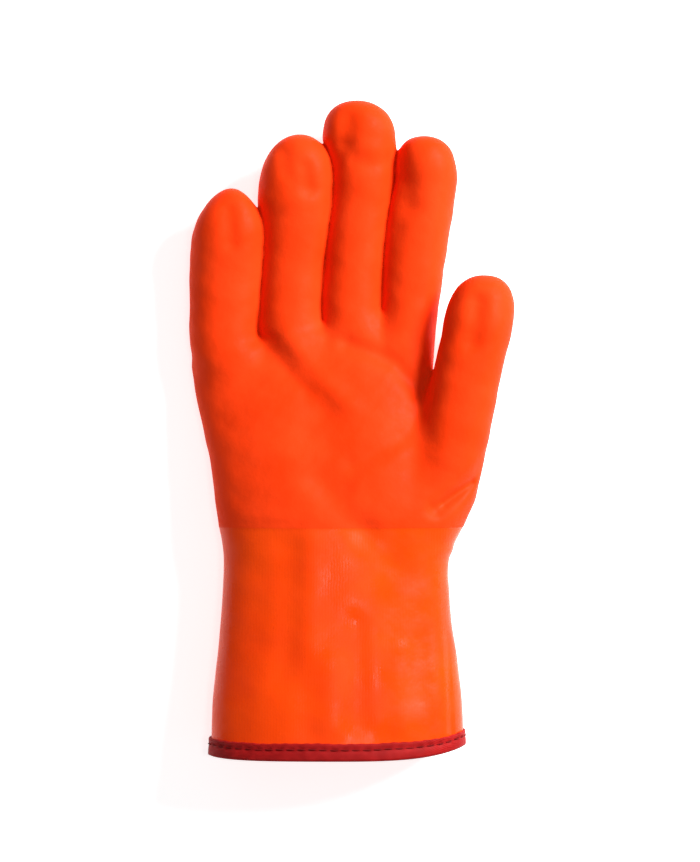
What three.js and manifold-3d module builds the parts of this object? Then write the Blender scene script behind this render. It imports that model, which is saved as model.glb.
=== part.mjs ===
import * as THREE from "three";
import { mergeVertices } from "three/addons/utils/BufferGeometryUtils.js";
import Module from "manifold-3d";

// A coated work glove for the right hand, lying on its back with the palm up.
// Millimetres: +X to the thumb side, +Y from the cuff to the fingertips, +Z up out of the palm.
// Three pieces, as the real one is made: the hand, dipped a second time down to the wrist line,
// the smooth gauntlet cuff below it, and the binding tape folded over the cuff's hem.
// The origin is under the middle of the finished glove, on the surface that it lies on.

// Walls and clearances.
const HAND_WALL = 2.5; // coating and padded fabric together
const CUFF_WALL = 2.5;
const LIP_WALL = 0.8; // edge of the second coat, where it laps over the cuff
const LAP = 9; // how far the cuff runs up inside that lip
const GAP = 0.3; // clearance between pieces
const SETTLE = 1.6; // how far the soft back is pressed flat by the surface under it
const CROTCH_RISE = 2; // where the fingers part, beyond their roots

// The cuff, from its raw edge to the wrist line.
const CUFF = { length: 104, width: 118, depth: 50, frontPower: 2.2, backPower: 2.9 };
// The hem's curve: how much its sides rise, and how much more the thumb side does than the other.
const HEM = { sideLift: 2.65, skew: 2.25, reach: 60 };

// The binding tape. Its outer and inner legs take the cuff's edge between them.
const BINDING = { thickness: 0.9, outerLeg: 8.2, innerLeg: 7.4 };

// The palm, from the wrist line to the root of the little finger.
const PALM = { length: 86, depth: 40, rowOffset: -10.9, slant: 0.21, endLength: 6, backPower: 2.2 };

// Each finger's length above its root, its width there, how far its root lies beyond the little
// finger's, and the height of its axis. The fingers lie against each other, and each one's side is
// pressed in a little by the one before it.
const FINGERS = {
  little: { length: 70.4, width: 32, depth: 27.6, rise: 0, height: 14, capPower: 1.75 },
  ring: { length: 90.7, width: 30.6, depth: 28, rise: 4.6, height: 13.7, capPower: 2.1 },
  middle: { length: 103.7, width: 26.9, depth: 28, rise: 6.9, height: 13.8, capPower: 2.2 },
  index: { length: 84.2, width: 24.4, depth: 27.5, rise: 10.2, height: 13.7, capPower: 2.6 },
};
const THUMB = {
  length: 74.3,
  width: 32.5,
  depth: 28,
  side: 8, // its root's axis, outside the finger row's edge
  root: 0.5585, // its root above the wrist line, as a share of its length
  height: 27,
  capPower: 2.4,
};

// Sections of the cuff. "at" runs from the edge, 0, to the wrist line, 1. The left and right
// edges are shares of the cuff's width and the depth is a share of its depth.
const CUFF_ROWS = [
  { at: 0, left: -0.489, right: 0.496, depth: 1 },
  { at: 0.23, left: -0.484, right: 0.489, depth: 0.98 },
  { at: 0.45, left: -0.464, right: 0.467, depth: 0.935 },
  { at: 0.585, left: -0.454, right: 0.45, depth: 0.91 },
  { at: 0.72, left: -0.446, right: 0.442, depth: 0.89 },
  { at: 0.81, left: -0.442, right: 0.438, depth: 0.88 },
  { at: 0.895, left: -0.444, right: 0.449, depth: 0.875 },
  { at: 1, left: -0.458, right: 0.486, depth: 0.875 },
];

// Sections of the palm. "at" runs from the wrist line, 0, to the little finger's root, 1. The
// edges are shares of the finger row's width, from its middle, and the depth of the palm's.
const PALM_ROWS = [
  { at: 0.06, left: -0.385, right: 0.614, depth: 1.1 },
  { at: 0.14, left: -0.394, right: 0.622, depth: 1.09 },
  { at: 0.25, left: -0.405, right: 0.594, depth: 1.06 },
  { at: 0.36, left: -0.415, right: 0.549, depth: 1.02 },
  { at: 0.46, left: -0.431, right: 0.513, depth: 0.97 },
  { at: 0.57, left: -0.447, right: 0.485, depth: 0.91 },
  { at: 0.68, left: -0.463, right: 0.477, depth: 0.84 },
  { at: 0.79, left: -0.478, right: 0.48, depth: 0.75 },
  { at: 0.93, left: -0.492, right: 0.491, depth: 0.62 },
];

// Sections of each digit. "at" runs from its root, 0, to its tip, 1, and below 0 it runs down
// into the palm. The axis's shift and lift are shares of the digit's length, and its width and
// depth are shares of the digit's own. The last row starts the rounded tip, and "tip" is the
// shift and lift at its end.
const DIGIT_ROWS = {
  little: {
    rows: [
      { at: -0.45, shift: 0.083, lift: 0, width: 0.835, depth: 0.72 },
      { at: -0.2, shift: 0.066, lift: 0, width: 1.093, depth: 0.98 },
      { at: -0.08, shift: 0.04, lift: 0, width: 1.133, depth: 1 },
      { at: 0, shift: 0.003, lift: 0, width: 1.014, depth: 1 },
      { at: 0.26, shift: 0.006, lift: 0.006, width: 1.057, depth: 1.01 },
      { at: 0.53, shift: 0.018, lift: 0.034, width: 1.08, depth: 1.02 },
      { at: 0.66, shift: 0.027, lift: 0.06, width: 1.063, depth: 1.02 },
    ],
    tip: { shift: 0.048, lift: 0.13 },
  },
  ring: {
    rows: [
      { at: -0.4, shift: 0.039, lift: 0, width: 0.888, depth: 0.7 },
      { at: -0.15, shift: 0.048, lift: 0, width: 1.13, depth: 0.95 },
      { at: -0.05, shift: 0.026, lift: 0, width: 1.036, depth: 0.98 },
      { at: 0.01, shift: -0.005, lift: 0, width: 1.02, depth: 0.98 },
      { at: 0.155, shift: -0.006, lift: 0.002, width: 0.968, depth: 0.98 },
      { at: 0.36, shift: 0.007, lift: 0.012, width: 0.974, depth: 0.99 },
      { at: 0.56, shift: 0.021, lift: 0.032, width: 1.055, depth: 1.02 },
      { at: 0.66, shift: 0.018, lift: 0.048, width: 1.144, depth: 1.04 },
      { at: 0.716, shift: 0.019, lift: 0.056, width: 1.143, depth: 1.04 },
    ],
    tip: { shift: 0.042, lift: 0.11 },
  },
  middle: {
    rows: [
      { at: -0.33, shift: -0.01, lift: 0, width: 1.01, depth: 0.7 },
      { at: -0.12, shift: 0.022, lift: 0, width: 1.304, depth: 0.95 },
      { at: -0.03, shift: 0.01, lift: 0, width: 1.13, depth: 0.97 },
      { at: 0.02, shift: -0.006, lift: 0, width: 1.052, depth: 0.97 },
      { at: 0.11, shift: -0.009, lift: 0, width: 1.06, depth: 0.96 },
      { at: 0.29, shift: 0.002, lift: 0.007, width: 1.033, depth: 0.95 },
      { at: 0.47, shift: 0.02, lift: 0.019, width: 1.033, depth: 0.95 },
      { at: 0.6, shift: 0.034, lift: 0.033, width: 1.046, depth: 0.96 },
      { at: 0.693, shift: 0.041, lift: 0.044, width: 1.097, depth: 0.98 },
      { at: 0.783, shift: 0.035, lift: 0.056, width: 1.193, depth: 1.02 },
      { at: 0.827, shift: 0.023, lift: 0.062, width: 1.269, depth: 1.02 },
    ],
    tip: { shift: 0.014, lift: 0.095 },
  },
  index: {
    rows: [
      { at: -0.45, shift: -0.045, lift: 0, width: 0.954, depth: 0.7 },
      { at: -0.17, shift: -0.039, lift: 0, width: 1.17, depth: 0.95 },
      { at: -0.04, shift: -0.015, lift: 0, width: 1.074, depth: 0.98 },
      { at: 0, shift: -0.007, lift: 0, width: 1.047, depth: 0.98 },
      { at: 0.1, shift: 0.006, lift: 0.002, width: 1.117, depth: 0.98 },
      { at: 0.32, shift: 0.027, lift: 0.012, width: 1.193, depth: 0.99 },
      { at: 0.54, shift: 0.053, lift: 0.03, width: 1.239, depth: 1.01 },
      { at: 0.7, shift: 0.083, lift: 0.048, width: 1.203, depth: 1.02 },
      { at: 0.76, shift: 0.094, lift: 0.056, width: 1.179, depth: 1.02 },
    ],
    tip: { shift: 0.079, lift: 0.1 },
  },
  thumb: {
    rows: [
      { at: -0.66, shift: -0.17, lift: -0.12, width: 0.57, depth: 0.8 },
      { at: -0.51, shift: -0.121, lift: -0.095, width: 0.79, depth: 0.98 },
      { at: -0.387, shift: -0.075, lift: -0.07, width: 0.92, depth: 1.06 },
      { at: -0.25, shift: -0.041, lift: -0.045, width: 0.965, depth: 1.08 },
      { at: 0, shift: 0, lift: 0, width: 1, depth: 1.03 },
      { at: 0.227, shift: 0.05, lift: 0.02, width: 0.965, depth: 0.98 },
      { at: 0.44, shift: 0.095, lift: 0.035, width: 0.98, depth: 0.98 },
      { at: 0.6, shift: 0.13, lift: 0.045, width: 0.993, depth: 1 },
      { at: 0.693, shift: 0.147, lift: 0.05, width: 0.986, depth: 1 },
    ],
    tip: { shift: 0.192, lift: 0.06 },
  },
};

// Dents in the fingertips' pads: a groove from one point to another, where "along" is a share
// of the digit's length from its root and "across" a share of its width from its axis. Its width
// and depth are shares of the digit's depth.
const TIP_DENTS = {
  little: [{ from: { across: 0, along: 0.83 }, to: { across: 0.06, along: 0.6 }, width: 0.22, depth: 0.058 }],
  ring: [
    { from: { across: -0.2, along: 0.9 }, to: { across: -0.24, along: 0.78 }, width: 0.22, depth: 0.036 },
    { from: { across: 0.15, along: 0.84 }, to: { across: 0.24, along: 0.74 }, width: 0.22, depth: 0.05 },
  ],
  middle: [
    { from: { across: -0.26, along: 0.91 }, to: { across: -0.22, along: 0.8 }, width: 0.25, depth: 0.08 },
    { from: { across: 0, along: 0.73 }, to: { across: 0.45, along: 0.72 }, width: 0.22, depth: 0.043 },
  ],
  index: [{ from: { across: -0.3, along: 0.84 }, to: { across: -0.2, along: 0.6 }, width: 0.3, depth: 0.065 }],
  thumb: [{ from: { across: 0.2, along: 0.82 }, to: { across: 0.16, along: 0.58 }, width: 0.22, depth: 0.08 }],
};

// Folds of the palm: a groove, or a ridge where the depth is below 0. "across" is a share of
// the finger row's width from its middle, and "along" of the palm's length from the wrist line.
// Widths and depths are shares of the palm's depth.
const PALM_FOLDS = [
  { from: { across: -0.165, along: 0.94 }, to: { across: -0.01, along: 0.69 }, width: 0.22, depth: 0.065 },
  { from: { across: -0.1, along: 1 }, to: { across: 0.13, along: 0.69 }, width: 0.22, depth: -0.03 },
  { from: { across: 0.15, along: 0.97 }, to: { across: 0.32, along: 0.88 }, width: 0.22, depth: 0.045 },
  { from: { across: 0.32, along: 0.88 }, to: { across: 0.42, along: 0.74 }, width: 0.22, depth: 0.045 },
  { from: { across: 0.42, along: 0.48 }, to: { across: 0.395, along: 0.24 }, width: 0.22, depth: 0.065 },
  { from: { across: 0.66, along: 0.26 }, to: { across: 0.5, along: 0.11 }, width: 0.2, depth: 0.045 },
  { from: { across: -0.08, along: 0.66 }, to: { across: 0.1, along: 0.34 }, width: 0.65, depth: 0.05 },
  { from: { across: 0.02, along: 0.25 }, to: { across: 0.2, along: -0.03 }, width: 0.33, depth: 0.033 },
];

// Long soft folds that run up the cuff, placed by shares of its width and length. Widths and
// depths are shares of the cuff's depth.
const CUFF_FOLDS = [
  { from: { across: -0.17, along: 0.84 }, to: { across: -0.17, along: 0.42 }, width: 0.2, depth: 0.028 },
  { from: { across: -0.28, along: 0.78 }, to: { across: -0.3, along: 0.3 }, width: 0.22, depth: 0.02 },
  { from: { across: 0.09, along: 0.6 }, to: { across: 0.085, along: 0.15 }, width: 0.2, depth: 0.03 },
  { from: { across: 0.33, along: 0.55 }, to: { across: 0.32, along: 0.2 }, width: 0.18, depth: 0.02 },
];

// How finely the pieces are drawn: sides over the palm side and over the back, and the steps
// along them in millimetres.
const BODY_SIDES = { front: 26, back: 14 };
const DIGIT_SIDES = { front: 12, back: 8 };
const INNER_DIGIT_SIDES = { front: 7, back: 5 };
const PALM_STEP = 7;
const CUFF_STEP = 10.5;
const DIGIT_STEP = 8;
const INNER_STEP = 14;
const TIP_RINGS = 5;
const INNER_TIP_RINGS = 3;

const COLOURS = {
  hand: new THREE.MeshStandardMaterial({ color: 0xfa4a20, roughness: 0.62, metalness: 0 }),
  cuff: new THREE.MeshStandardMaterial({ color: 0xfb4c14, roughness: 0.3, metalness: 0 }),
  binding: new THREE.MeshStandardMaterial({ color: 0xa81e1e, roughness: 0.55, metalness: 0 }),
};

const wasm = await Module();
wasm.setup();

// The value of one column at a place along a table, on a smooth curve through its rows.
function sample(rows, column, at) {
  const last = rows.length - 1;
  let i = rows.findIndex((row) => row.at >= at) - 1;
  if (at >= rows[last].at) i = last - 1;
  i = Math.max(0, i);
  const [a, b] = [rows[i], rows[i + 1]];
  const t = THREE.MathUtils.clamp((at - a.at) / (b.at - a.at), 0, 1);
  const slope = (k) => {
    const [p, q] = [rows[Math.max(0, k - 1)], rows[Math.min(last, k + 1)]];
    return (q[column] - p[column]) / (q.at - p.at);
  };
  const span = b.at - a.at;
  const [t2, t3] = [t * t, t * t * t];
  return (
    (2 * t3 - 3 * t2 + 1) * a[column] +
    (t3 - 2 * t2 + t) * span * slope(i) +
    (3 * t2 - 2 * t3) * b[column] +
    (t3 - t2) * span * slope(i + 1)
  );
}

// A signed power, which squares off a circle's sine or cosine.
const squared = (value, power) => Math.sign(value) * Math.abs(value) ** (2 / power);

// How wide a rounded end still is, at a share of its length.
const capWidth = (share, power) => (1 - Math.min(1, share) ** power) ** (1 / power);

// Where the fingers stand: each root's middle along the row, from the little finger's side.
const wristLine = CUFF.length;
const palmEnd = wristLine + PALM.length;
const fingerNames = Object.keys(FINGERS);
const rowWidth = fingerNames.reduce((sum, name) => sum + FINGERS[name].width, 0);
const rowLeft = PALM.rowOffset - rowWidth / 2;
const firstCrotch = rowLeft + FINGERS.little.width;
const digits = {};
let reached = rowLeft;
for (const name of fingerNames) {
  const size = FINGERS[name];
  const root = { x: reached + size.width / 2, y: palmEnd + size.rise };
  digits[name] = { ...size, ...DIGIT_ROWS[name], root };
  reached += size.width;
}
const thumbRoot = { x: rowLeft + rowWidth + THUMB.side, y: wristLine + THUMB.root * THUMB.length };
digits.thumb = { ...THUMB, ...DIGIT_ROWS.thumb, root: thumbRoot };

// How far along its rounded tip a place on a digit is, from 0 to 1.
function tipShare(digit, along) {
  const start = digit.rows[digit.rows.length - 1].at;
  return THREE.MathUtils.clamp((along - start) / (1 - start), 0, 1);
}

// The shift or lift of a digit's axis at a place along it.
function axisAt(digit, column, along) {
  const atStart = digit.rows[digit.rows.length - 1][column];
  return sample(digit.rows, column, along) + tipShare(digit, along) * (digit.tip[column] - atStart);
}

// A fold or dent in the part's own millimetres, from shares of a piece's sizes.
function placed(fold, origin, { width, length, depth }) {
  const point = (p) => new THREE.Vector2(origin.x + p.across * width, origin.y + p.along * length);
  const from = point(fold.from);
  const run = point(fold.to).sub(from);
  return { from, run, runSquared: run.lengthSq(), width: fold.width * depth, depth: fold.depth * depth };
}

function placedDent(dent, digit) {
  const besideAxis = ({ across, along }) => ({
    across: across + (axisAt(digit, "shift", along) * digit.length) / digit.width,
    along,
  });
  const ends = { from: besideAxis(dent.from), to: besideAxis(dent.to) };
  return placed({ ...dent, ...ends }, digit.root, digit);
}

const palmStart = { x: PALM.rowOffset, y: wristLine };
const grooves = [
  ...Object.keys(digits).flatMap((name) => TIP_DENTS[name].map((dent) => placedDent(dent, digits[name]))),
  ...PALM_FOLDS.map((fold) => placed(fold, palmStart, { ...PALM, width: rowWidth })),
  ...CUFF_FOLDS.map((fold) => placed(fold, { x: 0, y: 0 }, CUFF)),
];

// How deep the upper side is pressed in at a place seen from above.
function relief(x, y) {
  let sum = 0;
  for (const groove of grooves) {
    const [dx, dy] = [x - groove.from.x, y - groove.from.y];
    const t = Math.min(1, Math.max(0, (dx * groove.run.x + dy * groove.run.y) / groove.runSquared));
    const away = Math.hypot(dx - t * groove.run.x, dy - t * groove.run.y);
    const reach = (2 * away) / groove.width;
    sum += groove.depth * Math.exp(-reach * reach);
  }
  return sum;
}

// One point of a section, whose edges, front and back are already set in by the wall.
function sectionPoint(section, angle, y) {
  const { left, right, front, back, frontPower, backPower, floor } = section;
  const [c, s] = [Math.cos(angle), Math.sin(angle)];
  const power = s >= 0 ? frontPower : backPower;
  const x = (left + right) / 2 + ((right - left) / 2) * squared(c, power);
  const z = (front + back) / 2 + ((front - back) / 2) * squared(s, power);
  const pressed = s > 0 ? relief(x, y) * Math.min(1, 1.6 * s) : 0;
  return new THREE.Vector3(x, y, Math.max(z - pressed, floor));
}

// Angles round a section, from the thumb side over the front and back under it.
const turn = ({ front, back }) => [
  ...Array.from({ length: front }, (_, i) => (Math.PI * i) / front),
  ...Array.from({ length: back }, (_, i) => Math.PI + (Math.PI * i) / back),
];

// Equal steps from one place to another, no longer than "step".
function stepped(from, to, step) {
  const count = Math.max(1, Math.ceil((to - from) / step));
  return Array.from({ length: count + 1 }, (_, i) => from + ((to - from) * i) / count);
}

// A closed body through rings of equally many points, with a fan over each end.
function loft(rings) {
  const sides = rings[0].length;
  const points = rings.flat();
  const faces = [];
  for (let i = 0; i + 1 < rings.length; i++) {
    for (let j = 0; j < sides; j++) {
      const [a, b] = [i * sides + j, i * sides + ((j + 1) % sides)];
      faces.push(a, a + sides, b, b, a + sides, b + sides);
    }
  }
  const centre = (ring) => ring.reduce((sum, p) => sum.add(p), new THREE.Vector3()).divideScalar(sides);
  const [first, last] = [points.length, points.length + 1];
  points.push(centre(rings[0]), centre(rings[rings.length - 1]));
  const end = (rings.length - 1) * sides;
  for (let j = 0; j < sides; j++) {
    const next = (j + 1) % sides;
    faces.push(first, j, next, last, end + next, end + j);
  }
  return solid(points, faces);
}

// A closed body round a loop of equal sections.
function ringSweep(sections) {
  const sides = sections[0].length;
  const faces = [];
  for (let i = 0; i < sections.length; i++) {
    const [here, there] = [i * sides, ((i + 1) % sections.length) * sides];
    for (let j = 0; j < sides; j++) {
      const next = (j + 1) % sides;
      faces.push(here + j, there + j, here + next, there + j, there + next, here + next);
    }
  }
  return solid(sections.flat(), faces);
}

function solid(points, faces) {
  const geometry = new THREE.BufferGeometry().setFromPoints(points);
  geometry.setIndex(faces);
  const merged = mergeVertices(geometry, 1e-3);
  const made = new wasm.Manifold(
    new wasm.Mesh({
      numProp: 3,
      vertProperties: merged.attributes.position.array,
      triVerts: new Uint32Array(merged.index.array),
    }),
  );
  if (made.volume() < 0) throw new Error("a body's faces point inwards");
  return made;
}

// The cuff and the palm are one long body, and these are its sections from hem to knuckles.
const bodyRows = [
  ...CUFF_ROWS.map((row) => ({
    at: row.at * CUFF.length,
    left: row.left * CUFF.width,
    right: row.right * CUFF.width,
    depth: row.depth * CUFF.depth,
  })),
  ...PALM_ROWS.map((row) => ({
    at: wristLine + row.at * PALM.length,
    left: PALM.rowOffset + row.left * rowWidth,
    right: PALM.rowOffset + row.right * rowWidth,
    depth: row.depth * PALM.depth,
  })),
];
const capStart = palmEnd - PALM.endLength;
const bodySection = (y) => {
  const value = (column) => sample(bodyRows, column, y);
  return { left: value("left"), right: value("right"), depth: value("depth") };
};

// A place on the body's surface, set in by "inset", with the hem's curve and the knuckles' slant.
function bodyPoint(angle, y, inset, { left, right, depth } = bodySection(y)) {
  const narrow = capWidth(Math.max(0, y - capStart) / PALM.endLength, 2);
  const shrink = ((1 - narrow) * depth) / 2;
  const knuckles = THREE.MathUtils.smoothstep(y, wristLine, palmEnd);
  // Near its hem the cuff is held up by the tape under it.
  const flat = THREE.MathUtils.smoothstep(y, BINDING.outerLeg, HEM.reach / 2);
  const rest = (BINDING.thickness + GAP) * (1 - flat);
  const section = {
    left: left + inset + shrink,
    right: right - inset - shrink,
    front: depth - inset - shrink,
    back: inset + rest - SETTLE + shrink,
    frontPower: CUFF.frontPower,
    backPower: THREE.MathUtils.lerp(CUFF.backPower, PALM.backPower, knuckles),
    floor: inset + rest,
  };
  const point = sectionPoint(section, angle, y);
  const across = (2 * point.x - left - right) / (right - left);
  const hem = Math.max(0, 1 - y / HEM.reach) ** 2;
  point.y += hem * (HEM.sideLift * across ** 4 + HEM.skew * across ** 3);
  point.y += knuckles * PALM.slant * (point.x - firstCrotch);
  return point;
}

function bodyLoft(places, inset) {
  const ring = (y) => {
    const section = bodySection(y);
    return turn(BODY_SIDES).map((angle) => bodyPoint(angle, y, inset, section));
  };
  return loft(places.map(ring));
}

// A digit as one body from deep in the palm to its rounded tip, set in by "inset".
function digitLoft(digit, inset, sides, step, tipRings) {
  const start = digit.rows[digit.rows.length - 1];
  const capReach = (1 - start.at) * digit.length - inset;
  const ring = (along, narrow) => {
    const x = digit.root.x + axisAt(digit, "shift", along) * digit.length;
    const z = digit.height + axisAt(digit, "lift", along) * digit.length;
    const halfWidth = ((digit.width * sample(digit.rows, "width", along)) / 2 - inset) * narrow;
    const halfDepth = ((digit.depth * sample(digit.rows, "depth", along)) / 2 - inset) * narrow;
    const section = {
      left: x - halfWidth,
      right: x + halfWidth,
      front: z + halfDepth,
      back: z - halfDepth,
      frontPower: 2.1,
      backPower: 2.1,
      floor: inset,
    };
    return turn(sides).map((angle) => sectionPoint(section, angle, digit.root.y + along * digit.length));
  };
  const shaft = stepped(digit.rows[0].at, start.at, step / digit.length);
  const rings = shaft.map((along) => ring(along, 1));
  for (let i = 1; i <= tipRings; i++) {
    const share = Math.sin(((Math.PI / 2) * i) / (tipRings + 0.35));
    rings.push(ring(start.at + (share * capReach) / digit.length, capWidth(share, digit.capPower)));
  }
  return loft(rings);
}

const joined = (solids) => solids.reduce((all, next) => all.add(next));

const digitOutside = (digit, inset) => digitLoft(digit, inset, DIGIT_SIDES, DIGIT_STEP, TIP_RINGS);

const digitInside = (digit, inset = HAND_WALL) =>
  digitLoft(digit, inset, INNER_DIGIT_SIDES, INNER_STEP, INNER_TIP_RINGS);

// What lies beyond the crotch between a finger and the next one.
function beyondCrotch(made, finger) {
  const crotch = new THREE.Vector2(finger.root.x + finger.width / 2, finger.root.y + CROTCH_RISE);
  const across = new THREE.Vector2(-PALM.slant, 1).normalize();
  return made.trimByPlane([across.x, across.y, 0], across.dot(crotch));
}

// The hand: palm and digits in one, hollow throughout, with a thin lip that takes the cuff's top.
function hand() {
  const palmRings = stepped(wristLine, capStart, PALM_STEP);
  const capRings = [0.5, 0.8, 0.97].map((share) => capStart + share * PALM.endLength);
  const fingers = fingerNames.map((name) => digits[name]);
  const solids = fingers.map((finger) => digitOutside(finger, 0));
  const hollows = fingers.map((finger) => digitInside(finger));
  for (let i = 0; i + 1 < fingers.length; i++) {
    solids[i + 1] = solids[i + 1].subtract(beyondCrotch(digitOutside(fingers[i], -GAP), fingers[i]));
    hollows[i + 1] = hollows[i + 1].subtract(digitInside(fingers[i], -GAP - HAND_WALL));
  }
  const palm = bodyLoft([...palmRings, ...capRings], 0);
  const outside = joined([palm, digitOutside(digits.thumb, 0), ...solids]);
  const palmHollow = bodyLoft(stepped(wristLine - LAP, capStart, INNER_STEP), HAND_WALL);
  const inside = joined([palmHollow, digitInside(digits.thumb), ...hollows]);
  const pocket = bodyLoft([wristLine - LAP, wristLine, wristLine + LAP / 2, wristLine + LAP + GAP], LIP_WALL);
  return outside.subtract(inside).subtract(pocket);
}

// The cuff: a tapering tube whose top is thinned to slip inside the hand's lip.
function cuff() {
  const tongue = LIP_WALL + GAP;
  const shoulder = wristLine - GAP;
  const tape = BINDING.outerLeg - BINDING.thickness;
  const outside = bodyLoft([0, tape, ...stepped(tape + CUFF_STEP, shoulder, CUFF_STEP)], 0);
  const top = bodyLoft([shoulder - LAP, wristLine, wristLine + LAP / 2, wristLine + LAP], tongue);
  const bore = bodyLoft(
    [-LAP, 0, tape, ...stepped(tape + INNER_STEP, wristLine + 2 * LAP, INNER_STEP)],
    CUFF_WALL,
  );
  return outside.add(top).subtract(bore);
}

// The binding: a tape folded over the hem, with a leg outside and a leg inside the cuff's wall.
function binding() {
  const t = BINDING.thickness;
  const [low, inner] = [-GAP - t, CUFF_WALL + GAP];
  const corner = t * 0.8;
  // Each point is a distance above the cuff's edge and a distance in from its outer face.
  const profile = [
    [BINDING.outerLeg - t - GAP, -GAP],
    [BINDING.outerLeg - t - GAP, -GAP - t],
    [low + corner, -GAP - t],
    [low, -GAP],
    [low, inner],
    [low + corner, inner + t],
    [BINDING.innerLeg - t - GAP, inner + t],
    [BINDING.innerLeg - t - GAP, inner],
    [-GAP, inner],
    [-GAP, -GAP],
  ];
  return ringSweep(
    turn(BODY_SIDES).map((angle) =>
      profile.map(([rise, inset]) => {
        const point = bodyPoint(angle, Math.max(0, rise), inset);
        point.y += Math.min(0, rise);
        return point;
      }),
    ),
  );
}

function piece(name, made, material) {
  const mesh = made.getMesh();
  const geometry = new THREE.BufferGeometry();
  geometry.setAttribute("position", new THREE.BufferAttribute(new Float32Array(mesh.vertProperties), 3));
  geometry.setIndex(new THREE.BufferAttribute(new Uint32Array(mesh.triVerts), 1));
  geometry.computeVertexNormals();
  const node = new THREE.Mesh(geometry, material);
  node.name = name;
  return node;
}

const glove = new THREE.Group();
glove.name = "work_glove";
glove.add(
  piece("hand_shell", hand(), COLOURS.hand),
  piece("gauntlet_cuff", cuff(), COLOURS.cuff),
  piece("hem_binding", binding(), COLOURS.binding),
);

// The origin goes under the middle of the whole glove.
const middle = new THREE.Box3().setFromObject(glove).getCenter(new THREE.Vector3());
glove.position.set(-middle.x, -middle.y, 0);

export default glove;
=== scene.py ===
import math

import bmesh
import bpy
import numpy as np
import openvdb
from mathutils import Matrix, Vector


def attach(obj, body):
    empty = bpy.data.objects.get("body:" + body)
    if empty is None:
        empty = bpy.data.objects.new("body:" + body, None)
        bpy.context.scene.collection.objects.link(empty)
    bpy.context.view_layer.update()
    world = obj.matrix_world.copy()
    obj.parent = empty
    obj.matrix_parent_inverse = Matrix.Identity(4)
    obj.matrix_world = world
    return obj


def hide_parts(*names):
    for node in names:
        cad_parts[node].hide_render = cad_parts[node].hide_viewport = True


# The dressed work glove: the coated hand and cuff as smooth, softly dented skins over the solids,
# the tape round the hem with its stitches, and the materials, floor, light and camera.
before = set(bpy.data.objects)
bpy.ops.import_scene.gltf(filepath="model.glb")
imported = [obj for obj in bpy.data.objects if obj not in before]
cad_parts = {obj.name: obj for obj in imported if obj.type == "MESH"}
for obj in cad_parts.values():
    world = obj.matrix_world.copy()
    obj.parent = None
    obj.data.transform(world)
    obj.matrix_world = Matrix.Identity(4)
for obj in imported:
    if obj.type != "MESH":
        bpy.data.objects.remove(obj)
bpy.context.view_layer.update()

MM = 0.001

# How finely the skins are drawn, in millimetres, how many cells to each side of their surface keep
# a distance, how often they are evened out, and the share of its faces that the inside keeps.
CELL = 0.98
BAND = 3
EVEN_ROUNDS = 3
INNER_SHARE = 0.12
SHARP = math.radians(55)  # the angle from which an edge of a skin is drawn sharp

# The box that the skins are worked out in, in the glove's own millimetres.
FIELD_LOW = np.array([-66.0, -7.0, -4.0])
FIELD_HIGH = np.array([86.0, 303.5, 57.0])

# Walls and clearances, in millimetres as all sizes of the glove below.
WALL = 2.5
GAP = 0.3
SETTLE = 1.6  # how far the soft back is pressed flat by the surface under it
FINGER_BLEND = 5.0  # how softly the palm runs into the fingers
THUMB_BLEND = 8.0
SIDE_BLEND = 2.0  # how softly the body's side turns into its flat back
FLOOR_BLEND = 1.5  # how softly the whole glove turns into the flat that it rests on
DIGIT_POWER = 2.1  # how square a digit's section is, 2 for an ellipse

# The folds: how strongly they are drawn, the height above the floor that the photograph shows them
# at, in metres, and how fast they fade towards the sides.
RELIEF = 1.3
FOLD_HEIGHT = 0.035
FOLD_FADE = 1.6

# Between two fingers: how softly they blend, and the depth and width of the crease there. It sets
# in on faces that look up or down, out of the palm, and fades away from the outer face.
CREASE = 1.8
CREASE_DEPTH = 0.55
CREASE_WIDTH = 1.3
CREASE_FACING = (0.15, 0.6)
CREASE_FREE = (0.5, 3.0)
CREASE_SKIN = (2.0, 1.0)

# The second coat ends across the wrist, with a raised edge.
COAT_EDGE = 0.12
COAT_FADE = 16.0

# Soft unevenness in rows of height, size and seed: the hand's, the cuff's, which is drawn out along
# it, and the whole glove's.
HAND_LUMPS = [(0.2, 11, 3), (0.08, 4.5, 5)]
CUFF_LUMPS = (0.2, 13, 7)
CUFF_LONG = 0.3
ALL_LUMPS = (0.07, 8, 11)
LUMPS_FADE = 6  # how far from the wrist line the hand's and the cuff's set in

# The middle of the glove in its own millimetres, which run from the middle of the raw hem.
ORIGIN = (6.646, 149.58)

# The photograph's view: a camera above the glove, looking straight down.
FRAME_PX = (700, 862)
CAMERA = {"at": (-0.3 * MM, -1.27 * MM, 1348 * MM), "lens": 120.0, "sensor": 36.0}

# The cuff from its raw edge to the wrist line, and the hem's curve.
CUFF = {"length": 104, "width": 118, "depth": 50, "front": 2.2, "back": 2.9}
HEM = {"lift": 2.65, "skew": 2.25, "reach": 60, "rest": 8.2}
TAPE = {"thickness": 0.9, "outer": 7.0, "inner": 6.2, "pitch": 5.0, "row": 4.2}
PALM = {"length": 86, "depth": 40, "offset": -10.9, "slant": 0.21, "end": 6, "back": 2.2}
ROW_WIDTH = 113.9
WRIST = CUFF["length"]
PALM_END = WRIST + PALM["length"]
ROW_LEFT = PALM["offset"] - ROW_WIDTH / 2

# Sections of the cuff: place from the edge to the wrist, left and right edge as shares of its
# width, and depth as a share of its depth.
CUFF_ROWS = [
    (0, -0.489, 0.496, 1),
    (0.23, -0.484, 0.489, 0.98),
    (0.45, -0.464, 0.467, 0.935),
    (0.585, -0.454, 0.45, 0.91),
    (0.72, -0.446, 0.442, 0.89),
    (0.81, -0.442, 0.438, 0.88),
    (0.895, -0.444, 0.449, 0.875),
    (1, -0.458, 0.486, 0.875),
]

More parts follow.
